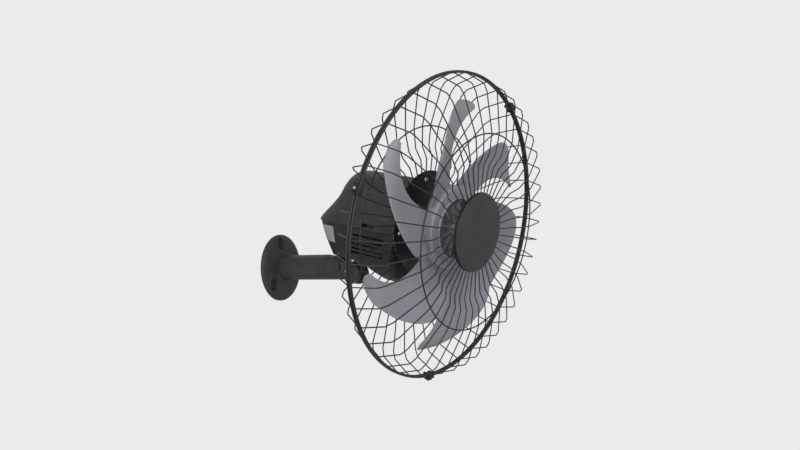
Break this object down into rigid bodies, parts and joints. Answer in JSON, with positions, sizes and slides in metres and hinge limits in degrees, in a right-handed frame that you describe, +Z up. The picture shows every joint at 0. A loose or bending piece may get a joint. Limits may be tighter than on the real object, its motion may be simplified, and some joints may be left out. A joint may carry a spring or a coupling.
{
  "type": "wall mounted fan",
  "caption": "Oscillating wall fan: a wire-caged impeller with its motor housing, tilting and swivelling on a tubular arm with a round wall flange",
  "frame": {"origin": "centre of the flange's flat wall face", "axes": "+Y points into the wall, +Z is up, the fan blows towards -Y, turned a little to -X and downwards as in the picture"},
  "size_m": [0.6046, 0.5474, 0.6012],
  "materials": {
    "arm_paint": "satin dark grey paint",
    "zinc_steel": "zinc plated",
    "linkage_steel": "ground steel",
    "neck_paint": "satin near-black paint",
    "white_acetal": "moulded, greased",
    "cast_alloy": "as cast",
    "stator_steel": "varnished laminations and windings",
    "rotor_iron": "turned laminations",
    "bearing_steel": "ground steel",
    "capacitor_case": "smooth moulded",
    "hood_plastic": "satin moulded, dark grey",
    "housing_plastic": "fine grained, near black",
    "black_nylon": "moulded, black",
    "plate_paint": "satin near-black paint",
    "guard_wire": "dark grey powder coat",
    "cap_plastic": "fine grained charcoal",
    "impeller_plastic": "satin moulded, grey with a violet cast"
  },
  "bodies": {
    "base": {"wall_flange": "arm_paint", "arm_tube": "arm_paint", "arm_knuckle": "arm_paint", "tilt_bolt": "zinc_steel", "tilt_nut": "zinc_steel"},
    "neck": {"neck_block": "neck_paint", "stop_screw": "zinc_steel", "link_anchor": "linkage_steel", "retaining_screw": "zinc_steel", "thrust_washer": "white_acetal"},
    "head": {"chassis": "cast_alloy", "swivel_bush": "white_acetal", "gearbox_case": "cast_alloy", "gearbox_lid": "cast_alloy", "lid_screw_1": "zinc_steel", "lid_screw_2": "zinc_steel", "motor_front_shield": "cast_alloy", "motor_rear_shield": "cast_alloy", "stator": "stator_steel", "front_bearing": "bearing_steel", "rear_bearing": "bearing_steel", "capacitor": "capacitor_case", "hood": "hood_plastic", "lower_housing": "housing_plastic", "cable_gland": "black_nylon", "mount_plate": "plate_paint", "plate_screw_1": "zinc_steel", "plate_screw_2": "zinc_steel", "plate_screw_3": "zinc_steel", "plate_screw_4": "zinc_steel", "rear_guard": "guard_wire", "front_guard": "guard_wire", "guard_clip_1": "black_nylon", "guard_clip_2": "black_nylon", "guard_clip_3": "black_nylon", "clip_screw_1": "zinc_steel", "clip_screw_2": "zinc_steel", "clip_screw_3": "zinc_steel", "front_cap": "cap_plastic"},
    "rotor": {"shaft": "linkage_steel", "rotor_core": "rotor_iron", "impeller": "impeller_plastic", "impeller_nut": "black_nylon"},
    "worm_wheel": {"worm_wheel": "white_acetal"},
    "crank": {"output_gear": "white_acetal", "crank_disc": "linkage_steel"},
    "link": {"link_rod": "linkage_steel"}
  },
  "joints": [
    {"name": "tilt", "type": "hinge", "parent": "base", "child": "neck", "pos_m": [0, -0.19, -0.007], "axis": [1, 0, 0], "range_deg": [-4, 18]},
    {"name": "swivel", "type": "hinge", "parent": "neck", "child": "head", "pos_m": [0, -0.19, -0.007], "axis": [0, -0.2113, 0.9774], "range_deg": [-30.5, 49.5]},
    {"name": "spin", "type": "hinge", "parent": "head", "child": "rotor", "pos_m": [-0.03549, -0.42473, 0.07525], "axis": [0.165, 0.964, 0.2084], "continuous": true},
    {"name": "worm_wheel", "type": "hinge", "parent": "head", "child": "worm_wheel", "pos_m": [0.02061, -0.22382, 0.11869], "axis": [0, -0.2113, 0.9774], "continuous": true},
    {"name": "crank", "type": "hinge", "parent": "head", "child": "crank", "pos_m": [0.00843, -0.19938, 0.10351], "axis": [0, -0.2113, 0.9774], "continuous": true},
    {"name": "link", "type": "hinge", "parent": "neck", "child": "link", "pos_m": [-0.024, -0.19021, 0.06969], "axis": [0, -0.2113, 0.9774], "range_deg": [-30, 5]}
  ],
  "couplings": [
    {"joint": "worm_wheel", "follows": "spin", "ratio": -0.041667},
    {"joint": "crank", "follows": "spin", "ratio": 0.013889}
  ]
}
